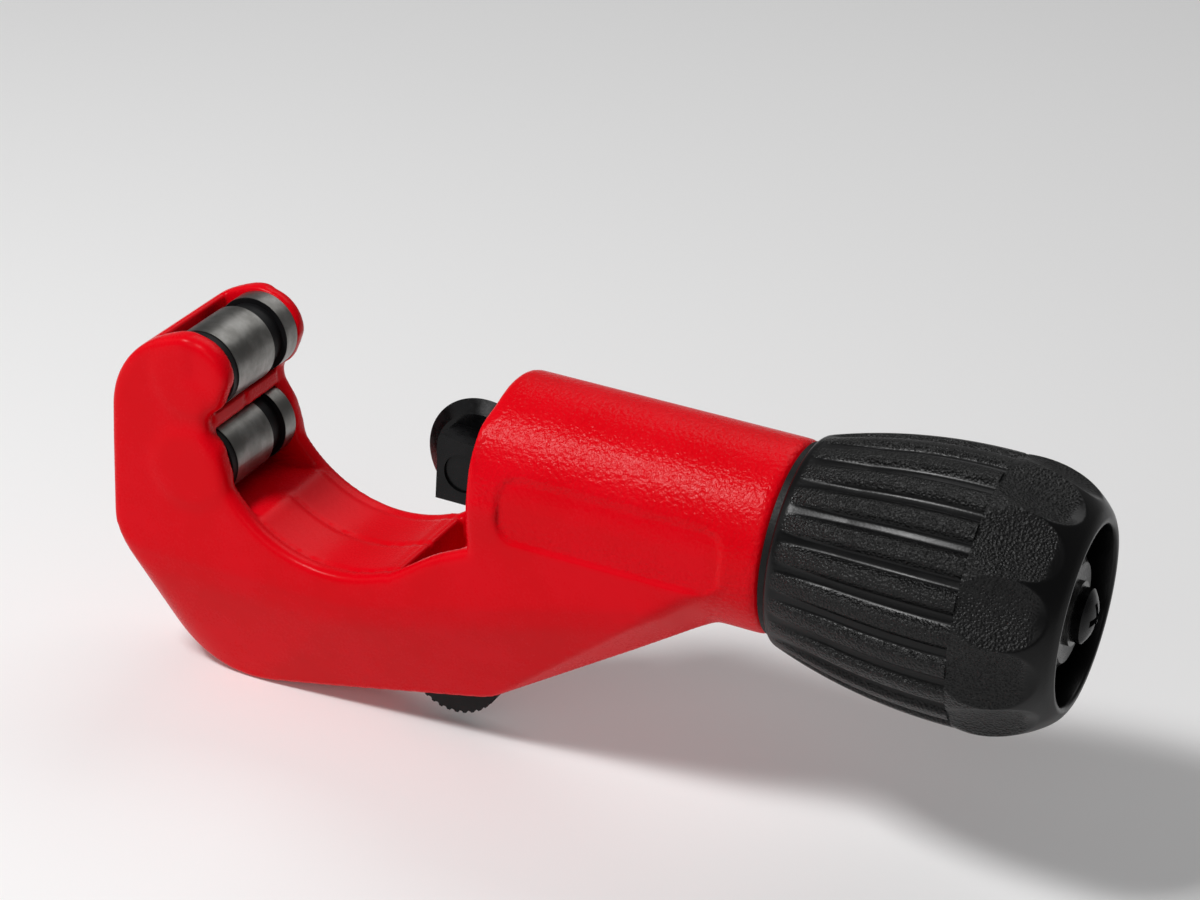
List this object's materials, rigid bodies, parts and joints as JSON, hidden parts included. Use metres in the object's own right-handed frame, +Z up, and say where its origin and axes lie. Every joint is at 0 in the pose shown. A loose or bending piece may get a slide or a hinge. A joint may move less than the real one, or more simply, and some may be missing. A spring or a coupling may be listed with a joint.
{
  "type": "telescopic pipe cutter",
  "caption": "Hand pipe cutter with a C-shaped jaw, two rollers, a screw-driven cutting wheel, a ribbed knob and a folding deburring blade.",
  "frame": {"origin": "centre of the 28 mm tube that the jaw is set to, where it meets the plane of the cutting wheel", "axes": "+X from the jaw along the barrel to the knob, +Y along the tube, away from the plain side face, +Z up, away from the keel"},
  "size_m": [0.1478, 0.039, 0.0635],
  "materials": {
    "red_casting": "glossy red powder coat with a fine wrinkle",
    "steel": "turned",
    "ground_steel": "ground, with blackened grooves",
    "bright_steel": "fine ground",
    "black_oxide": "oiled black oxide",
    "brass": "turned",
    "black_ring": "matt",
    "washer_plastic": "matt",
    "black_plastic": "satin with a fine leather grain on the ribs"
  },
  "bodies": {
    "frame": {"frame": "red_casting", "guide_pin": "steel", "thrust_ring": "black_ring", "retaining_ring": "steel", "roller_pin_upper": "steel", "roller_pin_lower": "steel", "deburrer_pivot": "steel", "friction_washer": "steel"},
    "slide": {"slide": "black_oxide", "drive_nut": "brass", "wheel_axle": "black_oxide", "axle_clip": "steel"},
    "cutter_wheel": {"cutter_wheel": "black_oxide"},
    "knob": {"knob": "black_plastic", "spindle": "steel", "thrust_washer": "washer_plastic", "spacer_sleeve": "steel", "spare_wheel": "black_oxide", "storage_washer": "steel", "storage_screw": "black_oxide"},
    "roller_upper": {"roller_upper": "ground_steel"},
    "roller_lower": {"roller_lower": "ground_steel"},
    "deburrer": {"deburrer_blade": "bright_steel", "thumb_disc": "black_plastic"}
  },
  "joints": [
    {"name": "knob_turn", "type": "hinge", "parent": "frame", "child": "knob", "pos_m": [0.09, 0, 0], "axis": [1, 0, 0], "range_deg": [-4392, 1296]},
    {"name": "slide_travel", "type": "slide", "parent": "frame", "child": "slide", "axis": [1, 0, 0], "range_m": [-0.0244, 0.0072]},
    {"name": "wheel_spin", "type": "hinge", "parent": "slide", "child": "cutter_wheel", "pos_m": [0.023, 0, 0], "axis": [0, 1, 0], "continuous": true},
    {"name": "roller_upper_spin", "type": "hinge", "parent": "frame", "child": "roller_upper", "pos_m": [-0.01856, 0, 0.00737], "axis": [0, 1, 0], "continuous": true},
    {"name": "roller_lower_spin", "type": "hinge", "parent": "frame", "child": "roller_lower", "pos_m": [-0.01856, 0, -0.00737], "axis": [0, 1, 0], "continuous": true},
    {"name": "deburrer_fold", "type": "hinge", "parent": "frame", "child": "deburrer", "pos_m": [0.0217, 0, -0.0338], "axis": [0, 1, 0], "range_deg": [0, 150]}
  ],
  "couplings": [
    {"joint": "slide_travel", "follows": "knob_turn", "m_per_rad": 0.00031831}
  ]
}
